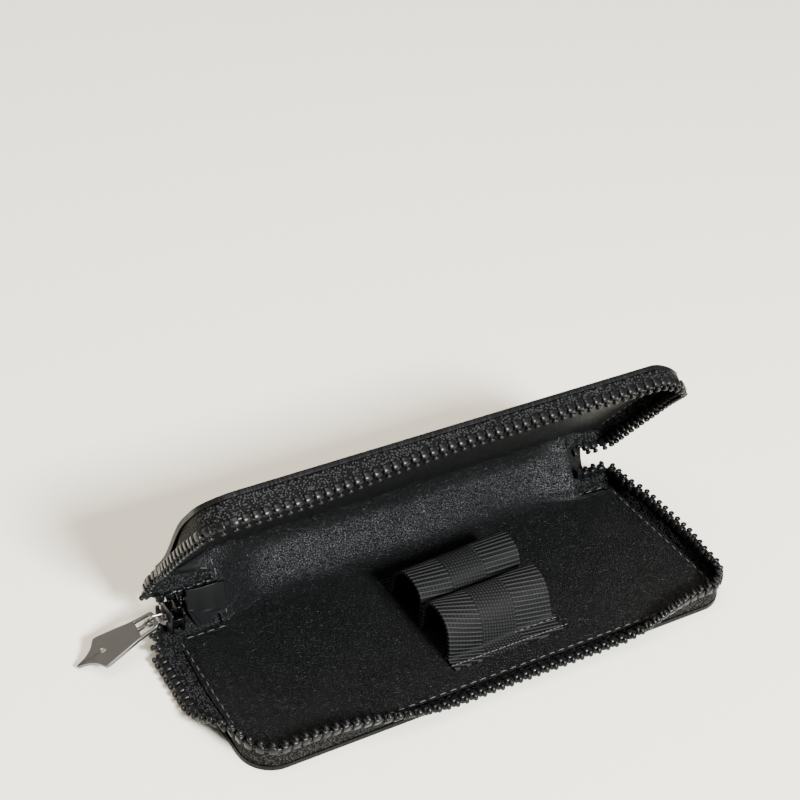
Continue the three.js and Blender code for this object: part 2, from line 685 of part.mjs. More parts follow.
export default group;
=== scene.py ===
"""Looks of an open zip-around pen case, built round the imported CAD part.

Lengths are millimetres in the part's own frame, until MM turns them into metres. The lid is drawn shut and
turned open about the hinge. The spine and the turning strands are drawn as they lie at rest.
"""

import bisect
import json
import math
import random
from collections import namedtuple
from contextlib import contextmanager

import bmesh
import bpy
from mathutils import Matrix, Vector, noise


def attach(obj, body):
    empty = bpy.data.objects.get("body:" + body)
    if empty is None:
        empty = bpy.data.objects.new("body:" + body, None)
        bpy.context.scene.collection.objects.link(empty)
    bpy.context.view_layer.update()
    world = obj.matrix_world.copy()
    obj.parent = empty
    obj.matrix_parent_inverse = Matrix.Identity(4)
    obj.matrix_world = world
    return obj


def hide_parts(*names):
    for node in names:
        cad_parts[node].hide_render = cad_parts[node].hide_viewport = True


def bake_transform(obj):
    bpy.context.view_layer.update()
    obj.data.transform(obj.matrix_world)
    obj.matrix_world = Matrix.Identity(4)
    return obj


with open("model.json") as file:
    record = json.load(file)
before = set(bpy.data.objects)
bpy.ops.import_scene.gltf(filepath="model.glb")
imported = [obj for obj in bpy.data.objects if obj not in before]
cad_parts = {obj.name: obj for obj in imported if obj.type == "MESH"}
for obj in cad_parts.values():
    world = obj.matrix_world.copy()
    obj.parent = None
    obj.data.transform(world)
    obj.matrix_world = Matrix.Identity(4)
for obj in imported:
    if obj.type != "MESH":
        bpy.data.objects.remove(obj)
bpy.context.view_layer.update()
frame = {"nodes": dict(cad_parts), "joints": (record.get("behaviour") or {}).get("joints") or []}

# ---- sizes ----

MM = 0.001
# The shut case, its front and rear corner radii, the line that the lid turns about and how far it is open.
LENGTH, WIDTH, HEIGHT = 165.0, 66.0, 24.0
FRONT_RADIUS, REAR_RADIUS = 10.0, 8.0
HINGE = Vector((0.0, 33.15, 12.0))
OPENING = math.radians(52.4)
# Above a panel's outside: the cover's inside, the tape's flange under the lining and the lining's face.
COVER_THICK = 1.45
FLANGE_MID = 2.05
LINING_TOP = 3.05
LINING_THICK = 0.6
# The zip's line, inside the panel's edge at the front and sides and at the rear.
WALL_INSET, REAR_INSET, REAR_BEND = 1.2, 2.6, 3.2
LINING_INSET, LINING_RADIUS = WALL_INSET + 0.55, 8.25
# The windows at the ends of the spine: the x of their inner edges, and the y where both trays' floors stop.
WINDOW_LEFT, WINDOW_RIGHT = -64.3, 66.0
FLOOR_LEFT, FLOOR_RIGHT = 24.3, 28.3
LID_FLOOR_LEFT, LID_FLOOR_RIGHT = 29.5, 30.5
WINDOW_RADIUS = 2.6
# The slider's place on the left side, and half its length.
SLIDER_Y, SLIDER_HALF = 24.0, 3.9
# The zip: tooth pitch, the cord's radius and place up the tooth, the tape's thickness and height, how much
# lower it stands along the front, and the step between its points.
PITCH = 3.1
CORD, CORD_LIFT = 0.65, 0.35
TAPE, TAPE_HEIGHT, TAPE_SAG = 0.5, 5.4, 2.6
ZIP_STEP = 0.9
# The x of the pen loops' left and right edges.
BAND = (-13.0, 25.5)
rnd = random.Random(7)


# ---- small helpers ----


def link(name, data):
    obj = bpy.data.objects.new(name, data)
    bpy.context.scene.collection.objects.link(obj)
    return obj


def shade(mesh, smooth):
    mesh.polygons.foreach_set("use_smooth", [smooth] * len(mesh.polygons))


def mesh_object(name, verts, faces, uvs=None):
    """A mesh from points and their UVs, both in millimetres."""
    mesh = bpy.data.meshes.new(name)
    mesh.from_pydata([[c * MM for c in v] for v in verts], [], faces)
    if uvs:
        layer = mesh.uv_layers.new(name="UVMap")
        for loop in mesh.loops:
            layer.data[loop.index].uv = uvs[loop.vertex_index]
    shade(mesh, True)
    mesh.update()
    return link(name, mesh)


def grid_faces(rows, columns, close_rows=False):
    faces = []
    for i in range(rows - 1):
        here, there = i * columns, (i + 1) * columns
        for j in range(columns if close_rows else columns - 1):
            k = (j + 1) % columns
            faces.append((here + j, here + k, there + k, there + j))
    return faces


def add_tube(verts, faces, rings):
    """Adds a closed tube through rings of points, all with as many points."""
    first, sides = len(verts), len(rings[0])
    for ring in rings:
        verts.extend(ring)
    for face in grid_faces(len(rings), sides, True):
        faces.append(tuple(first + i for i in face))
    last = first + (len(rings) - 1) * sides
    faces.append(tuple(range(first, first + sides)))
    faces.append(tuple(range(last + sides - 1, last - 1, -1)))


def circle(centre, radius, a, b, sides):
    """Points round a centre, from direction a towards direction b."""
    angles = [2 * math.pi * k / sides for k in range(sides)]
    return [centre + a * (radius * math.cos(t)) + b * (radius * math.sin(t)) for t in angles]


def running_lengths(points):
    """The length along a line of points up to each of them."""
    lengths = [0.0]
    for a, b in zip(points, points[1:]):
        lengths.append(lengths[-1] + (b - a).length)
    return lengths


def shares(n):
    """Evenly spread numbers from 0 to 1."""
    return [i / (n - 1) for i in range(n)]


def tangent(points, i):
    """The direction along a line of points at its point i."""
    return (points[min(i + 1, len(points) - 1)] - points[max(i - 1, 0)]).normalized()


def curve_at(a, b, c, t):
    """A point on the quadratic curve from a to c that b draws towards itself."""
    return a * (1 - t) ** 2 + b * (2 * t * (1 - t)) + c * t**2


def evaluated_mesh(obj):
    bpy.context.view_layer.update()
    return bpy.data.meshes.new_from_object(obj.evaluated_get(bpy.context.evaluated_depsgraph_get()))


def apply_modifiers(obj):
    mesh = evaluated_mesh(obj)
    obj.modifiers.clear()
    obj.data = mesh


@contextmanager
def edited(mesh):
    bm = bmesh.new()
    bm.from_mesh(mesh)
    yield bm
    bm.to_mesh(mesh)
    bm.free()


def outward(obj):
    """Makes every face of a closed mesh point outwards."""
    with edited(obj.data) as bm:
        bmesh.ops.recalc_face_normals(bm, faces=bm.faces)
    return obj


def round_edges(obj, width, angle):
    """Rounds the edges that are sharper than an angle."""
    edge = obj.modifiers.new("edge", "BEVEL")
    edge.width = width * MM
    edge.segments = 3
    edge.limit_method = "ANGLE"
    edge.angle_limit = math.radians(angle)


def sheet(name, verts, columns, uvs, material, slot_name, thickness, offset=0.0, bevel=0.0, even=True):
    """A closed skin through a grid of points, which offset 1 grows along its normals and -1 against them."""
    obj = mesh_object(name, verts, grid_faces(len(verts) // columns, columns), uvs)
    skin = obj.modifiers.new("skin", "SOLIDIFY")
    skin.thickness = thickness * MM
    skin.offset, skin.use_even_offset = offset, even
    if bevel:
        round_edges(obj, bevel, 50)
    apply_modifiers(obj)
    return paint(outward(obj), material)


def solid(name, verts, faces, material):
    """Closed shapes of one material, as one piece."""
    return paint(outward(mesh_object(name, verts, faces)), material)


def noise_at(x, y, z):
    return noise.noise(Vector((x, y, z)))


def smoothstep(x, a, b):
    t = max(0.0, min(1.0, (x - a) / (b - a)))
    return t * t * (3 - 2 * t)


def swell(d, a, b, c, e):
    """Rises from 0 to 1 between a and b, and falls back between c and e."""
    return smoothstep(d, a, b) * (1 - smoothstep(d, c, e))


def between(a, b, first, last, u):
    """The point at u on a line that is at a where u is first, and at b where it is last."""
    return a * ((last - u) / (last - first)) + b * ((u - first) / (last - first))


def spline(points, step):
    """A smooth curve through 2-D points, sampled about every step."""
    pts = [Vector(p) for p in points]
    pts = [pts[0] * 2 - pts[1]] + pts + [pts[-1] * 2 - pts[-2]]
    out = []
    for i in range(1, len(pts) - 2):
        four = pts[i - 1 : i + 3]
        t = [0.0]
        for a, b in zip(four, four[1:]):
            t.append(t[-1] + max((b - a).length, 1e-6) ** 0.5)
        n = max(2, int((four[2] - four[1]).length / step + 0.5))
        for k in range(n):
            u = t[1] + (t[2] - t[1]) * k / n
            a1, a2, a3 = (between(four[m], four[m + 1], t[m], t[m + 1], u) for m in range(3))
            b1, b2 = between(a1, a2, t[0], t[2], u), between(a2, a3, t[1], t[3], u)
            out.append(between(b1, b2, t[1], t[2], u))
    out.append(pts[-2])
    return out


def lid_place(x, y, z):
    """Where a point of the shut lid lies with the lid open as at rest."""
    dy, dz = y - HINGE.y, z - HINGE.z
    c, s = math.cos(OPENING), math.sin(OPENING)
    return Vector((x, HINGE.y + dy * c + dz * s, HINGE.z - dy * s + dz * c))


def droop(x, y, z):
    """A point of the shut lid, moved as the zip pulls three of its corners in and down."""
    left = smoothstep(-x, 57, 83) * swell(y, -16, 22, 31.5, 38)
    right = 0.45 * smoothstep(x, 66, 83) * swell(y, 4, 28, 31.5, 38)
    corner = smoothstep(x, 64, 82.5) * smoothstep(-y, 4, 33)
    sink = 4.2 * left + 2.6 * right + 3.8 * corner * (0.35 + 0.65 * smoothstep(z, 16, 22))
    return x + 2.0 * left - 3.0 * right - 5.0 * corner, y + 1.2 * corner, z - sink


def softened(p):
    """A point of the open lid, moved as droop moves it."""
    dy, dz = p[1] - HINGE.y, p[2] - HINGE.z
    c, s = math.cos(OPENING), math.sin(OPENING)
    return lid_place(*droop(p[0], HINGE.y + dy * c - dz * s, HINGE.z + dy * s + dz * c))


def base_side(p):
    """A point drawn on the base half, which lies as it is drawn."""
    return Vector(p)


def lid_side(p):
    """A point drawn on the base half, turned over onto the lid half."""
    return lid_place(*droop(p[0], p[1], HEIGHT - p[2]))


def off_panel(side):
    """The direction from a half's panel to its inside."""
    return (side((0, 0, 1)) - side((0, 0, 0))).normalized()


# ---- the line that the zip stands on ----

SIDE, FRONT, REAR = LENGTH / 2 - WALL_INSET, WIDTH / 2 - WALL_INSET, WIDTH / 2 - REAR_INSET
REAR_SIDE = LENGTH / 2 - REAR_INSET
CORNER = FRONT_RADIUS - WALL_INSET
BEND_Y = SLIDER_Y - SLIDER_HALF - 1.0

# The zip's line from window to window: lines, and arcs as (centre, radius, first angle).
SEGMENTS = [
    ("line", (WINDOW_LEFT - 0.3, REAR), (-REAR_SIDE + REAR_BEND, REAR)),
    ("arc", (-REAR_SIDE + REAR_BEND, REAR - REAR_BEND), REAR_BEND, 90.0),
    ("line", (-REAR_SIDE, REAR - REAR_BEND), (-REAR_SIDE, BEND_Y)),
    ("line", (-REAR_SIDE, BEND_Y), (-SIDE, -FRONT + CORNER)),
    ("arc", (-SIDE + CORNER, -FRONT + CORNER), CORNER, 180.0),
    ("line", (-SIDE + CORNER, -FRONT), (SIDE - CORNER, -FRONT)),
    ("arc", (SIDE - CORNER, -FRONT + CORNER), CORNER, 270.0),
    ("line", (SIDE, -FRONT + CORNER), (REAR_SIDE, BEND_Y)),
    ("line", (REAR_SIDE, BEND_Y), (REAR_SIDE, REAR - REAR_BEND)),
    ("arc", (REAR_SIDE - REAR_BEND, REAR - REAR_BEND), REAR_BEND, 0.0),
    ("line", (REAR_SIDE - REAR_BEND, REAR), (WINDOW_RIGHT + 0.3, REAR)),
]


def segment_length(s):
    return math.dist(s[1], s[2]) if s[0] == "line" else 0.5 * math.pi * s[2]


PATH_LENGTH = sum(segment_length(s) for s in SEGMENTS)


def wall_frame(d):
    """Point, direction along and direction outwards at a distance along the zip."""
    d = max(0.0, min(PATH_LENGTH, d))
    for s in SEGMENTS:
        size = segment_length(s)
        if d <= size + 1e-9 or s is SEGMENTS[-1]:
            break
        d -= size
    if s[0] == "line":
        a, b = Vector(s[1]), Vector(s[2])
        along = (b - a).normalized()
        point = a + along * min(d, size)
    else:
        angle = math.radians(s[3]) + d / s[2]
        point = Vector(s[1]) + Vector((math.cos(angle), math.sin(angle))) * s[2]
        along = Vector((-math.sin(angle), math.cos(angle)))
    return point, along, Vector((along.y, -along.x))


# Lengths of the zip's straight and round stretches, to name places along it.
REAR_RUN = REAR_SIDE - REAR_BEND + WINDOW_LEFT - 0.3
REAR_CORNER = 0.5 * math.pi * REAR_BEND
FRONT_CORNER = 0.5 * math.pi * CORNER
SIDE_TOP = REAR - REAR_BEND
SIDE_LOW = -WIDTH / 2 + FRONT_RADIUS
FRONT_RUN = LENGTH - 2 * FRONT_RADIUS


def on_left(y):
    """The distance along the zip of a y on its left side. on_front and on_right are alike."""
    return REAR_RUN + REAR_CORNER + SIDE_TOP - y


def on_front(x):
    return on_left(SIDE_LOW) + FRONT_CORNER + x + FRONT_RUN / 2


def on_right(y):
    return on_front(FRONT_RUN / 2) + FRONT_CORNER + y - SIDE_LOW


def base_lean(d):
    """How far the base's wall leans outwards."""
    left = 98 * (1 - smoothstep(d, on_left(0), on_left(SIDE_LOW - 4)))
    front = 58 * swell(d, on_front(-64), on_front(-18), on_front(36), on_front(71))
    right = 18 * swell(d, on_right(SIDE_LOW), on_right(-5), on_right(12), on_right(23))
    return math.radians(left + front + right)


def lid_lean(d):
    """How far the lid's wall leans outwards."""
    left = 20 * (1 - smoothstep(d, on_left(SIDE_LOW), on_left(SIDE_LOW) + FRONT_CORNER))
    rear = 72 * (1 - smoothstep(d, on_left(24), on_left(-24)))
    front = 6 * swell(d, on_front(-60), on_front(-20), on_front(30), on_front(65))
    return math.radians(left + rear + front)


def tape_height(d, fading, end):
    return TAPE_HEIGHT - TAPE_SAG * swell(d, on_front(-58), on_front(-5), fading, end)


def base_height(d):
    return tape_height(d, on_front(30), on_front(64))


def lid_height(d):
    return tape_height(d, on_front(58), on_right(12))


# The teeth stop short of the zip's open end.
OPEN_END = PATH_LENGTH - 3.2

# One half's zip: its lean, height and side, the seed of its waves, and where its turning strand ends.
Zip = namedtuple("Zip", "lean height side seed start")
BASE_ZIP = Zip(base_lean, base_height, base_side, 1.0, on_left(18.0))
LID_ZIP = Zip(lid_lean, lid_height, lid_side, 2.0, on_left(11.0))


def wall_line(d, half):
    """The wall's middle line in (outwards, up), from the flange to the free edge, and its teeth's angle."""
    angle, steps = half.lean(d), 9
    line = [Vector((-2.2, FLANGE_MID)), Vector((-0.4, FLANGE_MID)), Vector((0.7, FLANGE_MID - 0.15))]
    stride = (half.height(d) - 0.2) / steps
    bulge = 0.05 * (noise_at(d * 0.11, half.seed, 0.3) + 0.5 * noise_at(d * 0.31, half.seed, 5.1))
    for i in range(steps):
        t = (i + 0.5) / steps
        a = angle * (0.5 + 0.65 * t) + bulge * math.sin(math.pi * t)
        line.append(line[-1] + Vector((math.sin(a), math.cos(a))) * stride)
    teeth_share = 1.14 if half is BASE_ZIP else 0.12
    return line, angle * teeth_share


def wall_point(d, outwards, up, side):
    point, _, out = wall_frame(d)
    return side((point.x + out.x * outwards, point.y + out.y * outwards, up))


# ---- materials ----


class Nodes:
    """A new node material with a principled shader, and short ways to add to it."""

    def __init__(self, name, color, roughness, metallic=0.0, gloss=0.5):
        self.material = bpy.data.materials.new(name)
        self.material.use_nodes = True
        self.tree = self.material.node_tree
        self.shader = self.tree.nodes["Principled BSDF"]
        keys = ("Base Color", "Roughness", "Metallic", "Specular IOR Level")
        for key, value in zip(keys, ((*color, 1), roughness, metallic, gloss)):
            self.shader.inputs[key].default_value = value
        self.normal = None

    def add(self, kind, **settings):
        node = self.tree.nodes.new(kind)
        for key, value in settings.items():
            if key in node.inputs:
                node.inputs[key].default_value = value
            else:
                setattr(node, key, value)
        return node

    def wire(self, a, b):
        self.tree.links.new(a, b)

    def coordinates(self, kind="UV", scale=(1, 1, 1), turn=0.0):
        source = self.add("ShaderNodeTexCoord")
        mapping = self.add("ShaderNodeMapping", Scale=scale, Rotation=(0, 0, turn))
        self.wire(source.outputs[kind], mapping.inputs["Vector"])
        return mapping.outputs["Vector"]

    def space(self, turn=0.0):
        """The object's own coordinates in millimetres."""
        return self.coordinates("Object", (1 / MM, 1 / MM, 1 / MM), turn)

    def texture(self, kind, vector, output="Fac", **settings):
        node = self.add("ShaderNodeTex" + kind, **settings)
        self.wire(vector, node.inputs["Vector"])
        return node.outputs[output]

    def noise(self, vector, scale, detail=4.0):
        return self.texture("Noise", vector, Scale=scale, Detail=detail, Roughness=0.55)

    def voronoi(self, vector, scale, feature="DISTANCE_TO_EDGE"):
        return self.texture("Voronoi", vector, "Distance", feature=feature, Scale=scale)

    def wave(self, vector, scale, axis="X", distortion=0.0):
        return self.texture("Wave", vector, bands_direction=axis, Scale=scale, Distortion=distortion)

    def math(self, operation, a, b):
        node = self.add("ShaderNodeMath", operation=operation)
        for socket, value in zip(node.inputs, (a, b)):
            if isinstance(value, (int, float)):
                socket.default_value = value
            else:
                self.wire(value, socket)
        return node.outputs[0]

    def ramp(self, value, low, high, out_low=0.0, out_high=1.0):
        limits = {"From Min": low, "From Max": high, "To Min": out_low, "To Max": out_high}
        node = self.add("ShaderNodeMapRange", **limits)
        self.wire(value, node.inputs["Value"])
        return node.outputs["Result"]

    def mix(self, factor, a, b):
        node = self.add("ShaderNodeMix", data_type="RGBA")
        self.wire(factor, node.inputs["Factor"])
        node.inputs[6].default_value = (*a, 1)
        node.inputs[7].default_value = (*b, 1)
        return node.outputs[2]

    def choose(self, factor, a, b):
        node = self.add("ShaderNodeMix", data_type="FLOAT")
        for place, socket in ((0, factor), (2, a), (3, b)):
            self.wire(socket, node.inputs[place])
        return node.outputs[0]

    def first(self, vector):
        """The first number of a vector."""
        node = self.add("ShaderNodeSeparateXYZ")
        self.wire(vector, node.inputs[0])
        return node.outputs[0]

    def color(self, socket):
        self.wire(socket, self.shader.inputs["Base Color"])

    def rough(self, socket):
        self.wire(socket, self.shader.inputs["Roughness"])

    def satin(self, slow, fine, roughness, spread, grain):
        """A roughness that changes slowly, with a fine grain on it."""
        broad = self.ramp(slow, 0.3, 0.7, roughness - spread, roughness + spread)
        self.rough(self.math("ADD", broad, self.ramp(fine, 0.3, 0.7, -grain, grain)))

    def bump(self, height, distance, strength=1.0):
        node = self.add("ShaderNodeBump", Distance=distance * MM, Strength=strength)
        self.wire(height, node.inputs["Height"])
        if self.normal:
            self.wire(self.normal, node.inputs["Normal"])
        self.normal = node.outputs["Normal"]
        self.wire(self.normal, self.shader.inputs["Normal"])


# Black fibre, with painted shade in its gaps and a painted highlight on its raised loops.
THREAD_PAINTED_SHADE, THREAD_PAINTED_HIGHLIGHT = (0.0003, 0.0003, 0.0003), (0.034, 0.0335, 0.033)


def leather_material(name, pebble, depth, spread, gloss):
    """Black leather: fine pebbles, pores and slow changes of sheen. UVs are millimetres."""
    black, roughness = 0.002, 0.42
    m = Nodes(name, (black, black, black), roughness, gloss=gloss)
    uv = m.coordinates()
    cells = m.voronoi(uv, 1 / pebble)
    fine = m.noise(uv, 1.7, 3)
    slow = m.noise(uv, 0.07, 3)
    m.color(m.mix(slow, (black * 0.8,) * 3, (black * 1.3,) * 3))
    m.satin(slow, fine, roughness, spread, 0.11)
    m.bump(m.ramp(cells, 0.0, 0.14), depth, 1.0)
    m.bump(fine, depth * 1.6, 0.9)
    return m.material


def tape_material():
    """Black woven tape: a herringbone of fine threads, with a painted highlight on its raised loops and
    painted shade in its gaps.
    """
    m = Nodes("woven_tape", (0.01, 0.01, 0.011), 0.75, gloss=0.1)
    left = m.wave(m.coordinates(turn=math.radians(35)), 0.42, "X", 1.2)
    right = m.wave(m.coordinates(turn=math.radians(-35)), 0.42, "X", 1.2)
    side = m.ramp(m.wave(m.coordinates(), 0.155, "Y"), 0.45, 0.55)
    weave = m.choose(side, left, right)
    loops = m.ramp(m.voronoi(m.coordinates(scale=(1, 1.25, 1)), 1.45, "F1"), 0.25, 0.75, 1.0, 0.0)
    raised = m.math("MULTIPLY", m.math("ADD", m.math("MULTIPLY", weave, 0.45), 0.55), loops)
    fuzz = m.noise(m.coordinates(), 5.0, 3)
    both = m.math("MULTIPLY", raised, m.ramp(fuzz, 0.25, 0.75, 0.6, 1.1))
    # Painted light: the colour is bright where the loops are raised and near black in the gaps.
    m.color(m.mix(m.ramp(both, 0.28, 0.62), THREAD_PAINTED_SHADE, THREAD_PAINTED_HIGHLIGHT))
    m.bump(both, 0.6, 1.0)
    return m.material


def webbing_material():
    """Elastic webbing: ribs along X at both sides with beaded gaps, and a plain weave in the middle."""
    m = Nodes("ribbed_webbing", (0.012, 0.012, 0.012), 0.6, gloss=0.15)
    uv = m.coordinates()
    across, width = m.first(uv), BAND[1] - BAND[0]
    ribs = m.ramp(m.wave(uv, 0.23, "Y", 0.15), 0.5, 0.92)
    threads = m.ramp(m.wave(uv, 0.26, "X", 0.4), 0.45, 0.8)
    ribbed = m.math("ADD", m.math("MULTIPLY", ribs, 0.95), m.math("MULTIPLY", threads, 0.12))
    warp, weft = (m.ramp(m.wave(uv, 0.3, axis, 0.3), 0.2, 0.7) for axis in "YX")
    plain = m.math("ADD", m.math("MULTIPLY", m.math("MULTIPLY", warp, weft), 0.6), 0.08)
    past_left = m.math("GREATER_THAN", across, width * 0.32)
    inside = m.math("MULTIPLY", past_left, m.math("LESS_THAN", across, width * 0.65))
    fuzz = m.noise(uv, 4.0, 3)
    both = m.math("MULTIPLY", m.choose(inside, ribbed, plain), m.ramp(fuzz, 0.25, 0.75, 0.6, 1.15))
    # Painted light: the colour is bright on the ribs and threads and near black in the gaps between them.
    m.color(m.mix(both, THREAD_PAINTED_SHADE, THREAD_PAINTED_HIGHLIGHT))
    m.bump(both, 0.6, 1.0)
    return m.material


def teeth_material():
    m = Nodes("moulded_teeth", (0.0036, 0.0036, 0.0038), 0.28, gloss=0.19)
    fine = m.noise(m.space(), 1.6, 3)
    m.rough(m.ramp(fine, 0.3, 0.7, 0.24, 0.38))
    m.bump(fine, 0.05, 0.5)
    return m.material


def thread_material():
    m = Nodes("sewing_thread", (0.07, 0.069, 0.067), 0.7)
    twist = m.wave(m.space(0.6), 1.6, "DIAGONAL")
    # Painted light on the thread's grey: painted shade in the twist's grooves and a painted highlight on its
    # ridges.
    m.color(m.mix(twist, (0.012, 0.012, 0.0115), (0.085, 0.083, 0.08)))
    m.bump(twist, 0.08, 0.8)
    return m.material


def metal_material(name, color, roughness, spread):
    """Plated or painted metal with a fine worn satin finish."""
    m = Nodes(name, color, roughness, 1.0)
    space = m.space()
    fine = m.noise(space, 5.0, 4)
    slow = m.noise(space, 0.35, 3)
    m.color(m.mix(slow, tuple(c * 0.85 for c in color), tuple(c * 1.15 for c in color)))
    m.satin(slow, fine, roughness, spread, 0.04)
    m.bump(fine, 0.03, 0.4)
    return m.material


OUTER = leather_material("outer_leather", 0.75, 0.07, 0.06, 0.1)
LINING = leather_material("lining_leather", 0.6, 0.15, 0.04, 0.2)
WOVEN = tape_material()
WEBBING = webbing_material()
TEETH = teeth_material()
THREAD = thread_material()
NIB_METAL = (0.15, 0.147, 0.147)
GUNMETAL = metal_material("gunmetal", (0.1, 0.097, 0.097), 0.4, 0.06)
BRIGHT = metal_material("worn_wire", (0.4, 0.39, 0.38), 0.3, 0.05)
DARK = metal_material("black_metal", (0.02, 0.02, 0.022), 0.38, 0.05)


def paint(obj, material):
    obj.data.materials.clear()
    obj.data.materials.append(material)
    return obj


# ---- the leather sheets that run from the base, round the spine, to the lid ----


def outer_profile():
    """The outside of the case in (y, z), from the base's front edge to the lid's."""
    front = [-WIDTH / 2 + FRONT_RADIUS * (1 - math.cos(a * math.pi / 32)) for a in range(16)]
    base_ys = front + list(range(-23, 24, 2)) + [24 + i * 0.5 for i in range(12)]
    lid_ys = [30.5 - i * 0.5 for i in range(13)] + list(range(23, -24, -2)) + front[::-1]
    bend = [(30, 0), (32.6, 0.35), (35.4, 1.5), (37.9, 3.6), (39.7, 6.4), (40.9, 9.7), (41.7, 13)]
    spine = spline(bend + [(42.25, 16.2), (42.3, 18.6), lid_place(0, 31, HEIGHT).yz], 0.6)
    return [Vector((y, 0)) for y in base_ys] + spine + [lid_place(0, y, HEIGHT).yz for y in lid_ys]


def panel_reach(y):
    """Half the panel's length at a distance y from its middle line."""
    half = WIDTH / 2
    radius = FRONT_RADIUS if y < 0 else REAR_RADIUS
    past = max(0.0, abs(y) - half + radius)
    return LENGTH / 2 - radius + math.sqrt(max(0, radius**2 - past**2))


def cover():
    profile = outer_profile()
    lengths = running_lengths(profile)
    total, half, columns = lengths[-1], WIDTH / 2, 72
    strip = LENGTH / 2 - REAR_RADIUS + 0.6
    crowding = 0.82 * math.pi / 2
    verts, uvs = [], []
    for p, s in zip(profile, lengths):
        y = min(s, total - s) - half
        reach = strip
        if y < half - 0.2:
            reach = max(panel_reach(y), strip if y > 0 else 0)
        for share in shares(columns):
            x = reach * math.sin((2 * share - 1) * crowding) / math.sin(crowding)
            verts.append(softened((x, p.x, p.y)) if s > total / 2 else (x, p.x, p.y))
            uvs.append((x, s))
    obj = sheet("leather_cover", verts, columns, uvs, OUTER, "outer_leather", COVER_THICK, 1.0, 0.55)
    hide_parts("base_cover", "lid_cover", "base_spine", "lid_spine", "base_stiffener", "lid_stiffener")
    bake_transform(obj)


def lining_profile():
    """The lining's upper face in (y, z), from the base's front edge to the lid's."""
    front = -WIDTH / 2 + LINING_INSET
    ys = [front + LINING_RADIUS * (1 - math.cos(a * math.pi / 32)) for a in range(16)]
    base = [Vector((y, LINING_TOP)) for y in ys + list(range(-23, 22))]
    lid_plane = HEIGHT - LINING_TOP
    start, end = lid_place(0, 31.5, lid_plane), lid_place(0, 27.5, lid_plane)
    bend = [(22, LINING_TOP), (25.5, 3.1), (28.4, 3.55), (31.0, 5.0), (33.7, 7.5), (36.3, 10.4)]
    spine = spline(bend + [(38.3, 13.1), (39.1, 15.6), (start.y - 0.25, start.z + 0.1), end.yz], 0.6)
    lid_ys = list(range(26, -24, -1)) + ys[::-1]
    return base + spine + [lid_place(0, y, lid_plane).yz for y in lid_ys]


def lining_reach(s, total, side):
    """How far the lining reaches to one side, at a distance s along its profile."""
    start = -WIDTH / 2 + LINING_INSET
    y = start + min(s, total - s)
    window, floor = (-WINDOW_LEFT, FLOOR_LEFT) if side < 0 else (WINDOW_RIGHT, FLOOR_RIGHT)
    if s > total / 2:
        floor = LID_FLOOR_LEFT if side < 0 else LID_FLOOR_RIGHT
    r = LINING_RADIUS
    edge = LENGTH / 2 - LINING_INSET
    if y < start + r:
        edge = edge - r + math.sqrt(max(0, r * r - (start + r - y) ** 2))
    elif y > 0:
        edge -= 1.4 * min(1, y / 18)
    if y > floor:
        corner = max(0.0, 1 - (y - floor) / WINDOW_RADIUS)
        return window + WINDOW_RADIUS * (1 - math.sqrt(1 - corner * corner))
    if y > floor - 2:
        return edge - 2 + math.sqrt(max(0, 4 - (y - floor + 2) ** 2))
    return edge


def spine_pull(x, s, total):
    """How far the spine's lining is drawn forwards beside the windows."""
    share = swell(s, 54.5, 62.5, total - 68.0, total - 60.0)
    left = math.exp(-((max(0.0, x - WINDOW_LEFT) / 11) ** 2))
    right = 0.6 * math.exp(-((max(0.0, WINDOW_RIGHT - x) / 8) ** 2))
    return 7.4 * (left + right) * share


def lining():
    """One sheet of lining: both trays' floors and the spine, with a window cut at both ends."""
    profile = lining_profile()
    lengths = running_lengths(profile)
    total, columns = lengths[-1], 150
    verts, uvs = [], []
    for i, (p, s) in enumerate(zip(profile, lengths)):
        way = tangent(profile, i)
        normal = Vector((-way.y, way.x))
        left, right = -lining_reach(s, total, -1), lining_reach(s, total, 1)
        spine = swell(s, 52, 64, total - 66, total - 52)
        for share in shares(columns):
            x = left + (right - left) * share
            soft = noise_at(x * 0.03, s * 0.05, 1.7) * 0.55
            soft += noise_at(x * 0.11, s * 0.13, 4.2) * 0.22
            near = math.exp(-(((x - WINDOW_LEFT) / 14) ** 2))
            near += 0.8 * math.exp(-(((x - WINDOW_RIGHT) / 10) ** 2))
            phase = s * 1.15 + 2.2 * noise_at(x * 0.09, s * 0.08, 9.0)
            pucker = math.sin(phase) * 0.16 * near
            lift = spine * (soft + pucker)
            lift += (1 - spine) * 0.05 * noise_at(x * 0.05, s * 0.05, 3.0)
            q = p + normal * lift - Vector((spine_pull(x, s, total), 0))
            verts.append(softened((x, q.x, q.y)) if s > total / 2 else (x, q.x, q.y))
            uvs.append((x, s))
    skin = (LINING_THICK, -1.0, 0.12, False)
    obj = sheet("lining_sheet", verts, columns, uvs, LINING, "lining_leather", *skin)
    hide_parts("base_lining", "lid_lining")
    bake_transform(obj)
    return profile, lengths


# ---- the zip ----

ZIP_STEPS = int(PATH_LENGTH / ZIP_STEP)
ZIP_MARKS = [PATH_LENGTH * i / ZIP_STEPS for i in range(ZIP_STEPS + 1)]


def zip_tape(name, half, node, body):
    verts, uvs = [], []
    for d in ZIP_MARKS:
        if d > half.start - 1.2:
            line, _ = wall_line(d, half)
            verts += [wall_point(d, p.x, p.y, half.side) for p in line]
            uvs += [(d, up) for up in running_lengths(line)]
    obj = sheet(name, verts, len(line), uvs, WOVEN, "zip_tape", TAPE)
    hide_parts(node)
    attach(obj, body)


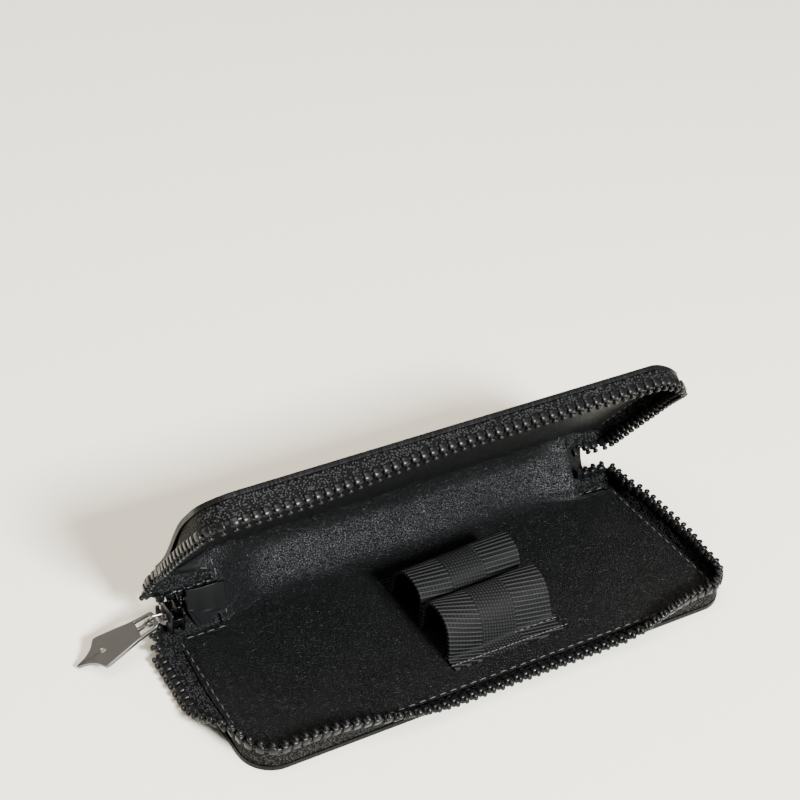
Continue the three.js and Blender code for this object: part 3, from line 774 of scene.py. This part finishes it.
# A tooth's height above the tape's edge, and its half sizes along and across the zip there.
TOOTH_RINGS = [
    (-0.45, 0.95, 0.85), (-0.32, 1.16, 1.1), (-0.1, 1.25, 1.2), (0.9, 1.26, 1.22), (1.75, 1.24, 1.2),
    (1.98, 1.14, 1.1), (2.08, 0.8, 0.95), (2.14, 0.5, 0.85), (2.32, 0.48, 0.85), (2.46, 0.62, 0.95),
    (2.62, 0.76, 1.05), (2.9, 0.82, 1.1), (3.15, 0.76, 1.02), (3.35, 0.6, 0.85), (3.48, 0.34, 0.5),
    (3.54, 0.1, 0.15),
]


def tooth_mesh(verts, faces, foot, along, up, across):
    """Adds one moulded tooth: a block that grips the tape's edge, a neck and a round head."""
    rings = []
    for height, a, c in TOOTH_RINGS:
        squarer = 0.3 if height < 1.95 else 0.9
        ring = []
        for k in range(12):
            angle = 2 * math.pi * (k + 0.5) / 12
            x, y = (math.copysign(abs(v) ** squarer, v) for v in (math.cos(angle), math.sin(angle)))
            ring.append(foot + along * (a * x) + across * (c * y) + up * height)
        rings.append(ring)
    add_tube(verts, faces, rings)


def tooth_axes(d, half):
    """Foot, along, up and across for a tooth at a distance along the zip."""
    line, angle = wall_line(d, half)
    _, along, out = wall_frame(d)
    origin = half.side((0, 0, 0))
    foot = wall_point(d, line[-1].x, line[-1].y, half.side)
    up = half.side((out.x * math.sin(angle), out.y * math.sin(angle), math.cos(angle))) - origin
    way = half.side((along.x, along.y, 0)) - origin
    return foot, way.normalized(), up.normalized(), way.cross(up).normalized()


def cord_ring(foot, up, across):
    """A ring of the round cord that the teeth grip."""
    return circle(foot + up * CORD_LIFT, CORD, up, across, 8)


def zip_teeth(name, half, node, body):
    verts, faces, rings = [], [], []
    d = half.start + 0.5 * PITCH
    while d < OPEN_END - 1.2:
        foot, along, up, across = tooth_axes(d, half)
        tilt = Matrix.Rotation(rnd.uniform(-0.035, 0.035), 3, along)
        tooth_mesh(verts, faces, foot, along, tilt @ up, tilt @ across)
        d += PITCH
    for d in ZIP_MARKS:
        if half.start - 0.8 < d < OPEN_END:
            foot, _, up, across = tooth_axes(d, half)
            rings.append(cord_ring(foot, up, across))
    add_tube(verts, faces, rings)
    obj = solid(name, verts, faces, TEETH)
    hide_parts(node)
    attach(obj, body)


def smooth_between(points, share):
    """A point on the smooth curve through evenly spread points."""
    n = len(points) - 1
    i = min(int(share * n), n - 1)
    t = share * n - i
    a, b, c, d = (points[max(0, min(n, i + k))] for k in (-1, 0, 1, 2))
    return 0.5 * (2 * b + (c - a) * t + (2 * a - 5 * b + 4 * c - d) * t**2 + (3 * b - a - 3 * c + d) * t**3)


# The turning strands from wall to window: the teeth's feet and the directions they point in.
LID_STRAND = [
    ((-82.8, 28.0, 27.4), (-0.2, -0.75, -0.6)), ((-83.4, 31.4, 22.4), (-0.15, -0.68, -0.7)),
    ((-83.8, 33.6, 18.2), (0.0, -0.55, -0.83)), ((-83.5, 34.2, 15.2), (0.1, -0.35, -0.93)),
    ((-82.5, 33.4, 13.7), (0.05, -0.2, -0.97)), ((-80.2, 31.7, 13.9), (0, -0.05, -1)),
    ((-77.0, 30.6, 14.8), (0, 0, -1)), ((-73.4, 30.6, 15.0), (0, 0, -1)), ((-69.5, 30.8, 15.0), (0, 0, -1)),
    ((-65.5, 30.8, 15.0), (0, 0, -1)),
]
BASE_STRAND = [
    ((-84.8, 21.4, 4.2), (-0.95, 0, 0.3)), ((-83.9, 24.4, 5.9), (-0.85, 0, 0.5)),
    ((-81.6, 27.2, 7.4), (-0.5, 0, 0.87)), ((-78.6, 29.2, 8.3), (-0.2, 0, 0.98)),
    ((-75.4, 30.2, 8.5), (0, 0, 1)), ((-72.2, 30.4, 8.4), (0, 0, 1)), ((-69.0, 30.4, 8.4), (0, 0, 1)),
    ((-65.5, 30.4, 8.4), (0, 0, 1)),
]


def zip_turn(name, strand, half, flange):
    """The zip from the side wall to the window: a twisting strip of tape with teeth on its free edge."""
    foot, _, up, _ = tooth_axes(half.start, half)
    feet = [foot] + [Vector(p) for p, _ in strand]
    ups = [up] + [Vector(u).normalized() for _, u in strand]
    rows, columns = 64, 12
    inwards = off_panel(half.side)
    verts, uvs, ends, ways = [], [], [], []
    for share in shares(rows):
        end, way = smooth_between(feet, share), smooth_between(ups, share).normalized()
        ends.append(end)
        ways.append(way)
        root = flange(share)
        reach = (end - root).length
        middle = (root + end) * 0.5 + inwards * (0.22 * reach) - way * (0.2 * reach)
        for t in shares(columns):
            verts.append(curve_at(root, middle, end, t))
            uvs.append((share * 40, t * reach))
    tape = sheet(name + "_turn_tape", verts, columns, uvs, WOVEN, "zip_tape", TAPE)
    verts, faces, rings = [], [], []
    next_tooth = 0.0
    for i, (end, way, length) in enumerate(zip(ends, ways, running_lengths(ends))):
        along = tangent(ends, i)
        across = along.cross(way).normalized()
        rings.append(cord_ring(end, way, across))
        if length >= next_tooth:
            tooth_mesh(verts, faces, end, along, across.cross(along).normalized(), across)
            next_tooth += PITCH
    add_tube(verts, faces, rings)
    return tape, solid(name + "_turn_teeth", verts, faces, TEETH)


def base_flange(share):
    """Where the turning tape meets the base's floor."""
    points = [(-79.0, 18.0, 2.3), (-78.4, 21.0, 2.3), (-75.5, 23.0, 2.3), (-71, 23.3, 2.3)]
    points += [(-66.5, 23.3, 2.3), (-62.2, 23.4, 2.6)]
    return smooth_between([Vector(p) for p in points], share)


def lid_flange(share):
    """Where the turning tape meets the lid's flange."""
    spot = wall_point(LID_ZIP.start * (1 - share), -0.9, FLANGE_MID, lid_side)
    return spot + Vector((2.4 * smoothstep(share, 0.8, 1.0), 0, 0))


def turns():
    tape, teeth = zip_turn("lid", LID_STRAND, LID_ZIP, lid_flange)
    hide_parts("lid_zip_tape")
    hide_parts("lid_zip_teeth")
    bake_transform(tape)
    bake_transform(teeth)
    tape, teeth = zip_turn("base", BASE_STRAND, BASE_ZIP, base_flange)
    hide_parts("base_zip_tape")
    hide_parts("joined_zip_teeth")
    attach(tape, "base")
    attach(teeth, "base")


def window_flap():
    """The lid lining's lower edge at the left window, which lies on the turning tape."""
    rows, columns = 9, 40
    verts, uvs = [], []
    for t in shares(rows):
        for share in shares(columns):
            x = -80.4 + 16.6 * share
            top = lid_side((x, 27.0, LINING_TOP + 0.45))
            low = Vector((x, 35.2 - 3.6 * share, 19.4 - 2.6 * share))
            middle = (top + low) * 0.5 + Vector((0, -1.3, 0.9))
            p = curve_at(top, middle, low, t)
            p.z += 0.25 * noise_at(x * 0.2, t * 2, 3.3) * t
            verts.append(p)
            uvs.append((x, 60 + t * 9))
    obj = sheet("window_flap", verts, columns, uvs, LINING, "lining_leather", 0.55, 0.0, 0.12)
    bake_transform(obj)
    row = stitch_piece("flap_stitches", line_row((-79.4, 34.9, 20.6), (-64.6, 31.7, 18.3), (0, -0.6, 0.8)))
    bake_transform(row)


# ---- pen loops ----


def band_line(t):
    """The webbing's middle line in (y, z), rear to front, at a share t of its width."""
    left = [
        (19.0, 3.6), (15.6, 3.6), (13.4, 3.9), (12.7, 5.2), (12.4, 8.0), (11.4, 11.6), (9.4, 14.4),
        (6.7, 16.1), (3.6, 16.7), (0.6, 16.4), (-1.8, 15.3), (-3.2, 13.4), (-3.8, 10.0), (-3.9, 6.0),
        (-4.1, 4.0), (-4.6, 4.0), (-5.0, 6.0), (-5.2, 10.0), (-5.8, 13.4), (-7.6, 15.9), (-10.4, 16.9),
        (-13.6, 16.7), (-16.6, 15.4), (-18.5, 13.0), (-19.5, 9.8), (-20.1, 6.6), (-20.0, 4.4),
        (-20.9, 3.65), (-22.4, 3.6), (-24.3, 3.6),
    ]
    right = [
        (19.4, 3.6), (17.6, 3.6), (16.1, 3.9), (15.6, 5.4), (15.3, 8.0), (14.4, 11.0), (12.8, 13.4),
        (10.8, 14.8), (8.4, 15.3), (5.8, 14.9), (3.6, 13.9), (2.2, 12.2), (1.3, 9.4), (0.6, 6.0),
        (0.0, 4.0), (-0.7, 4.0), (-1.5, 6.0), (-2.0, 9.6), (-2.9, 12.2), (-4.6, 13.8), (-6.8, 14.3),
        (-9.2, 14.0), (-11.6, 12.9), (-13.6, 11.0), (-15.0, 8.6), (-16.2, 6.2), (-17.4, 4.3), (-18.6, 3.65),
        (-21.4, 3.6), (-24.0, 3.6),
    ]
    return [Vector(a) * (1 - t) + Vector(b) * t for a, b in zip(left, right)]


def pen_loops():
    """Elastic webbing in two humps, with its points spread evenly along each line."""
    columns, rows = 48, 260
    lines = []
    for t in shares(columns):
        sag = 0.35 * math.sin(math.pi * t)
        points = [(y, z - sag * max(0.0, (z - 5) / 12)) for y, z in band_line(t)]
        dense = spline(spline(points, 10), 0.35)
        lines.append((dense, running_lengths(dense)))
    verts, uvs = [], []
    for t in shares(rows):
        for place, (dense, lengths) in zip(shares(columns), lines):
            target = lengths[-1] * t
            k = bisect.bisect_right(lengths, target, 1, len(lengths) - 1) - 1
            share = (target - lengths[k]) / max(lengths[k + 1] - lengths[k], 1e-9)
            p = dense[k].lerp(dense[k + 1], share)
            x = BAND[0] + (BAND[1] - BAND[0]) * place
            verts.append((x, p.x, p.y))
            uvs.append((x - BAND[0], target))
    obj = sheet("pen_loops", verts, columns, uvs, WEBBING, "webbing", 0.95, 0.0, 0.2)
    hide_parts("pen_loop_band")
    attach(obj, "base")


# ---- stitches ----

STITCH_RADIUS, STITCH_LIFT, STITCH_JITTER = 0.18, 0.12, 0.12
# How far inside the zip's line the edge's stitches lie, and the height of the pen loops' sewn flanges.
STITCH_INSET, LOOP_FLANGE_TOP = 1.4, 4.1


def stitch_row(verts, faces, points, normals, pitch=3.4, length=2.2):
    """Adds short raised stitches along a line of points."""
    lengths = running_lengths(points)

    def at(s):
        s = max(0.0, min(lengths[-1], s))
        i = bisect.bisect_left(lengths, s - 1e-9, 1) - 1
        t = (s - lengths[i]) / max(lengths[i + 1] - lengths[i], 1e-9)
        return points[i].lerp(points[i + 1], t), normals[i].lerp(normals[i + 1], t).normalized()

    count = max(1, int(lengths[-1] / pitch))
    for n in range(count):
        centre = (n + 0.5) * lengths[-1] / count + rnd.uniform(-STITCH_JITTER, STITCH_JITTER)
        size = length * rnd.uniform(0.92, 1.05)
        skew = rnd.uniform(-0.06, 0.06)
        rings = []
        for t in shares(7):
            p, up = at(centre + (t - 0.5) * size)
            step = at(centre + (t - 0.5) * size + 0.05)[0] - p
            way = (step if step.length > 1e-6 else points[-1] - points[-2]).normalized()
            flat = way.cross(up).normalized()
            arch = max(0.0, math.sin(math.pi * t))
            middle = p + up * (STITCH_LIFT * (arch * 1.6 - 0.6)) + flat * (skew * (t - 0.5) * size)
            rings.append(circle(middle, STITCH_RADIUS * (0.45 + 0.55 * arch**0.5), flat, up, 6))
        add_tube(verts, faces, rings)


def stitch_piece(name, *rows):
    verts, faces = [], []
    for points, normals, settings in rows:
        stitch_row(verts, faces, points, normals, **settings)
    return solid(name, verts, faces, THREAD)


def edge_row(side):
    """The row of stitches that holds the zip tape."""
    points = []
    d, end = on_left(FLOOR_LEFT - 2.2), on_right(FLOOR_RIGHT - 2.5)
    while d < end:
        points.append(wall_point(d, -STITCH_INSET, LINING_TOP, side))
        d += 1.0
    return points, [off_panel(side)] * len(points), {}


def line_row(a, b, up=(0, 0, 1), **settings):
    a, b = Vector(a), Vector(b)
    return [a.lerp(b, t) for t in shares(21)], [Vector(up)] * 21, settings


def spine_rows(profile, lengths):
    """Stitches beside both windows, on the spine's lining."""
    rows = []
    total = lengths[-1]
    start = -WIDTH / 2 + LINING_INSET
    windows = ((WINDOW_LEFT + 2.1, 25.5, LID_FLOOR_LEFT), (WINDOW_RIGHT - 2.1, 28.8, LID_FLOOR_RIGHT))
    for x, first, last in windows:
        points, normals = [], []
        for i, (p, s) in enumerate(zip(profile, lengths)):
            if first - start - 2.4 <= s <= total - (last - start) + 2.4:
                way = tangent(profile, i)
                points.append(Vector((x, p.x - spine_pull(x, s, total), p.y)))
                normals.append(Vector((0, -way.y, way.x)))
        rows.append((points, normals, {}))
    return rows


def stitches(profile, lengths):
    z, left_y, right_y = LINING_TOP, FLOOR_LEFT - 2.2, FLOOR_RIGHT - 1.4
    obj = stitch_piece(
        "base_stitches",
        edge_row(base_side),
        line_row((-77.0, left_y, z), (WINDOW_LEFT + 1.2, left_y, z)),
        line_row((WINDOW_RIGHT - 1.2, right_y, z + 0.25), (77.0, right_y, z + 0.25)),
    )
    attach(obj, "base")
    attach(stitch_piece("lid_stitches", edge_row(lid_side)), "lid")
    obj = stitch_piece("window_stitches", *spine_rows(profile, lengths))
    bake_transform(obj)
    left, right, top = BAND[0], BAND[1], LOOP_FLANGE_TOP
    obj = stitch_piece(
        "loop_stitches",
        line_row((left - 0.4, -19.3, top), (right + 1.2, -18.9, top), pitch=2.3, length=1.7),
        line_row((left - 0.6, -22.9, top), (right + 2.2, -22.9, top), pitch=1.35, length=1.15),
        line_row((left + 0.5, 16.8, top), (right, 18.2, top), pitch=2.3, length=1.7),
    )
    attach(obj, "base")


# ---- small parts ----


def bevelled(node, material, body, width):
    """A CAD piece again with its edges rounded."""
    obj = link("round_" + node, frame["nodes"][node].data.copy())
    with edited(obj.data) as bm:
        bmesh.ops.remove_doubles(bm, verts=bm.verts, dist=1e-6)
        bmesh.ops.dissolve_limit(bm, angle_limit=math.radians(1), verts=bm.verts, edges=bm.edges)
        bmesh.ops.recalc_face_normals(bm, faces=bm.faces)
    round_edges(obj, width, 25)
    apply_modifiers(obj)
    shade(obj.data, True)
    paint(obj, material)
    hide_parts(node)
    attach(obj, body)


def plate(name, outlines, half_thick, bevel):
    """A flat plate from closed outlines in millimetres, the first outside and the others holes."""
    curve = bpy.data.curves.new(name, "CURVE")
    curve.dimensions = "2D"
    curve.fill_mode = "BOTH"
    curve.extrude = (half_thick - bevel) * MM
    curve.bevel_depth = bevel * MM
    curve.bevel_resolution = 2
    curve.offset = -bevel * MM
    for outline in outlines:
        path = curve.splines.new("POLY")
        path.points.add(len(outline) - 1)
        for point, (x, y) in zip(path.points, outline):
            point.co = (x * MM, y * MM, 0, 1)
        path.use_cyclic_u = True
    shape = link(name + "_curve", curve)
    mesh = evaluated_mesh(shape)
    bpy.data.objects.remove(shape)
    with edited(mesh) as bm:
        bmesh.ops.remove_doubles(bm, verts=bm.verts, dist=1e-7)
        uv = bm.loops.layers.uv.new("UVMap")
        for face in bm.faces:
            for loop in face.loops:
                loop[uv].uv = loop.vert.co.xy / MM
    return link(name, mesh)


def rounded(points, radius):
    """A closed outline with its corners cut to curves."""
    out = []
    for i, p in enumerate(points):
        p, a, b = Vector(p), Vector(points[i - 1]), Vector(points[(i + 1) % len(points)])
        start, end = p + (a - p).normalized() * radius, p + (b - p).normalized() * radius
        out += [curve_at(start, p, end, k / 4) for k in range(5)]
    return out


def mirrored(points):
    return [(x, -y) for x, y in points]


def joint(name):
    return next(j for j in frame["joints"] if j["name"] == name)


# How steeply the puller hangs from its pivot.
PULLER_DROP = math.radians(25)


def puller_matrix():
    """From the puller's own plane, running along +X from its pivot, to the shared frame."""
    hinge = joint("puller_hinge")
    across = Vector(hinge["axis"])
    yaw = math.atan2(-across.x, across.y)
    level = Matrix.Translation(Vector(hinge["pos_m"])) @ Matrix.Rotation(yaw, 4, "Z")
    return level @ Matrix.Rotation(-PULLER_DROP, 4, "Y") @ Matrix.Rotation(math.pi, 4, "Z")


def nib_material():
    """The puller's metal, with two dark grooves across it."""
    m = Nodes("nib_metal", NIB_METAL, 0.4, 1.0)
    uv = m.coordinates()
    fine = m.noise(uv, 5, 4)
    m.satin(m.noise(uv, 0.4, 3), fine, 0.4, 0.06, 0.04)
    x = m.first(uv)
    lines = []
    for centre in (7.1, 10.1):
        away = m.math("ABSOLUTE", m.math("SUBTRACT", x, centre), 0)
        lines.append(m.ramp(away, 0.18, 0.32))
    groove = m.math("MULTIPLY", *lines)
    m.color(m.mix(groove, (0.015, 0.015, 0.015), NIB_METAL))
    m.bump(groove, 0.2, 1.0)
    m.bump(fine, 0.03, 0.4)
    return m.material


# Half of the nib's outline from the pivot, along its side to the shoulder and along its point to the tip.
NIB_SIDE = [
    (-0.45, 0), (-0.45, 2.3), (-0.1, 3.0), (0.9, 3.35), (3, 3.5), (7, 4.0), (10, 4.65), (14, 5.45),
    (17.4, 6.05), (18.1, 6.0), (18.7, 5.3),
]
NIB_POINT = [(18.7, 5.3), (19.8, 3.5), (21.4, 2.0), (23.4, 0.95), (25.2, 0.35), (25.6, 0.1)]


def puller():
    half = spline(NIB_SIDE, 0.5)[1:] + spline(NIB_POINT, 0.5)[1:]
    outline = half + mirrored(reversed(half))
    eye = rounded([(0.45, -0.7), (2.3, -0.7), (2.8, 0), (2.3, 0.7), (0.45, 0.7)], 0.25)
    slot = rounded([(0.75, 1.25), (2.5, 1.25), (3.3, 0.45), (5.5, 0.45), (5.6, 3.0), (0.75, 2.65)], 0.4)
    hole = circle(Vector((16.9, 0)), 0.9, Vector((1, 0)), Vector((0, 1)), 20)
    slit = [(17.8, -0.09), (25.0, -0.06), (25.0, 0.06), (17.8, 0.09)]
    obj = plate("nib_puller", [outline, eye, slot, mirrored(slot), hole, slit], 0.6, 0.16)
    obj.matrix_world = puller_matrix()
    paint(obj, nib_material())
    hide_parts("puller")
    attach(obj, "puller_body")


def wire_link():
    """The round wire ring between the bridge and the puller's eye."""
    near, far, tall, r, wire, sides = 1.05, -2.85, 1.5, 0.85, 0.3, 12
    points = []
    corners = ((near - r, tall - r), (far + r, tall - r), (far + r, r - tall), (near - r, r - tall))
    for n, (cx, cz) in enumerate(corners):
        for k in range(7):
            a = math.radians(90 * n + 15 * k)
            points.append(Vector((cx + r * math.cos(a), 0, cz + r * math.sin(a))))
    flat = Vector((0, 1, 0))
    verts = []
    for i, p in enumerate(points):
        way = (points[(i + 1) % len(points)] - points[i - 1]).normalized()
        verts += circle(p, wire, flat, way.cross(flat).normalized(), sides)
    faces = [tuple(v % len(verts) for v in face) for face in grid_faces(len(points) + 1, sides, True)]
    obj = solid("wire_link", verts, faces, BRIGHT)
    place = Vector(joint("link_swing")["pos_m"])
    obj.matrix_world = Matrix.Translation(place) @ Matrix.Rotation(-math.radians(5), 4, "Z")
    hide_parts("puller_link")
    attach(obj, "link")


def end_tab():
    """The leather tab with a cut point over the closed end of the zip."""
    corners = [
        (-71.6, 0.0), (-74.4, 6.8), (-74.1, 13.4), (-71.5, 12.9), (-68.5, 12.6), (-65.0, 12.7),
        (-61.9, 12.6), (-61.9, 3.4), (-64.5, 2.7), (-68.2, 1.2),
    ]
    obj = plate("end_tab", [corners], 0.42, 0.16)
    foot, slope, normal = Vector((0, 24.6, 3.4)), Vector((0, 0.261, 0.965)), Vector((0, -0.965, 0.261))
    for v in obj.data.vertices:
        x, up, off = v.co / MM
        v.co = (Vector((x, 0, 0)) + foot + slope * up + normal * off) * MM
    shade(obj.data, False)
    outward(obj)
    paint(obj, LINING)
    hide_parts("zip_end_tab")
    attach(obj, "base")


def small_parts():
    bevelled("slider_body", DARK, "base", 0.2)
    bevelled("slider_bridge", GUNMETAL, "base", 0.18)
    bevelled("slider_cap", DARK, "base", 0.2)
    for node, body in (("zip_bottom_stop", "base"), ("base_top_stop", "base"), ("lid_top_stop", "lid")):
        bevelled(node, TEETH, body, 0.25)


# ---- stage ----


def pale_floor():
    """A floor just under the case that curves up into a wall behind it."""
    reach, back, radius, gap = 3000.0, 1400.0, 600.0, 0.2
    rows = [(-reach, 0.0), (back, 0.0)]
    for a in range(1, 13):
        t = a * math.pi / 24
        rows.append((back + radius * math.sin(t), radius * (1 - math.cos(t))))
    rows.append((back + radius, reach))
    verts = [(x, y, z - gap) for y, z in rows for x in (-reach, reach)]
    floor = mesh_object("floor", verts, grid_faces(len(rows), 2))
    m = Nodes("pale_floor", (0.86, 0.815, 0.70), 0.9)
    m.bump(m.noise(m.space(), 0.5, 3), 0.02, 0.3)
    floor.data.materials.append(m.material)


def soft_room():
    world = bpy.data.worlds.new("soft_room")
    bpy.context.scene.world = world
    world.use_nodes = True
    color, strength = world.node_tree.nodes["Background"].inputs[:2]
    color.default_value = (1.0, 0.95, 0.91, 1)
    strength.default_value = 0.16


def softbox(name, place, target, width, height, power, color):
    """A rectangular light. Place, target and size are in metres."""
    light = bpy.data.lights.new(name, "AREA")
    light.shape = "RECTANGLE"
    light.size, light.size_y = width, height
    light.energy = power
    light.color = color
    obj = link(name, light)
    obj.location = place
    obj.rotation_euler = (Vector(target) - Vector(place)).to_track_quat("-Z", "Y").to_euler()


def camera():
    """The photo's view, from its angles and the place on the floor that it looks at."""
    azimuth, elevation, roll = (math.radians(a) for a in (-33.87, 36.08, 5.4))
    distance, target = 671.32, Vector((42.76, 100.45, 0))
    level = Vector((math.sin(azimuth), -math.cos(azimuth), 0))
    back = level * math.cos(elevation) + Vector((0, 0, math.sin(elevation)))
    right = -back.cross(Vector((0, 0, 1))).normalized()
    up = back.cross(right)
    across = right * math.cos(roll) + up * math.sin(roll)
    top = up * math.cos(roll) - right * math.sin(roll)
    data = bpy.data.cameras.new("camera")
    data.sensor_width, data.lens = 36, 87.147
    data.clip_start, data.clip_end = 0.05, 20
    obj = link("camera", data)
    place = (target + back * distance) * MM
    obj.matrix_world = Matrix.Translation(place) @ Matrix((across, top, back)).transposed().to_4x4()
    bpy.context.scene.camera = obj


# ---- everything ----

cover()
PROFILE, LENGTHS = lining()
zip_tape("base_tape", BASE_ZIP, "base_zip_tape", "base")
zip_tape("lid_tape", LID_ZIP, "lid_zip_tape", "lid")
zip_teeth("base_teeth", BASE_ZIP, "base_zip_teeth", "base")
zip_teeth("lid_teeth", LID_ZIP, "lid_zip_teeth", "lid")
turns()
window_flap()
pen_loops()
stitches(PROFILE, LENGTHS)
end_tab()
puller()
wire_link()
small_parts()
pale_floor()
soft_room()
softbox("key", (0.08, -1.2, 0.92), (0, 0.02, 0), 0.36, 0.26, 106, (0.92, 0.97, 1.0))
softbox("fill", (-0.2, -0.1, 1.7), (0, 0, 0), 1.3, 1.3, 41, (1, 0.92, 0.84))
camera()
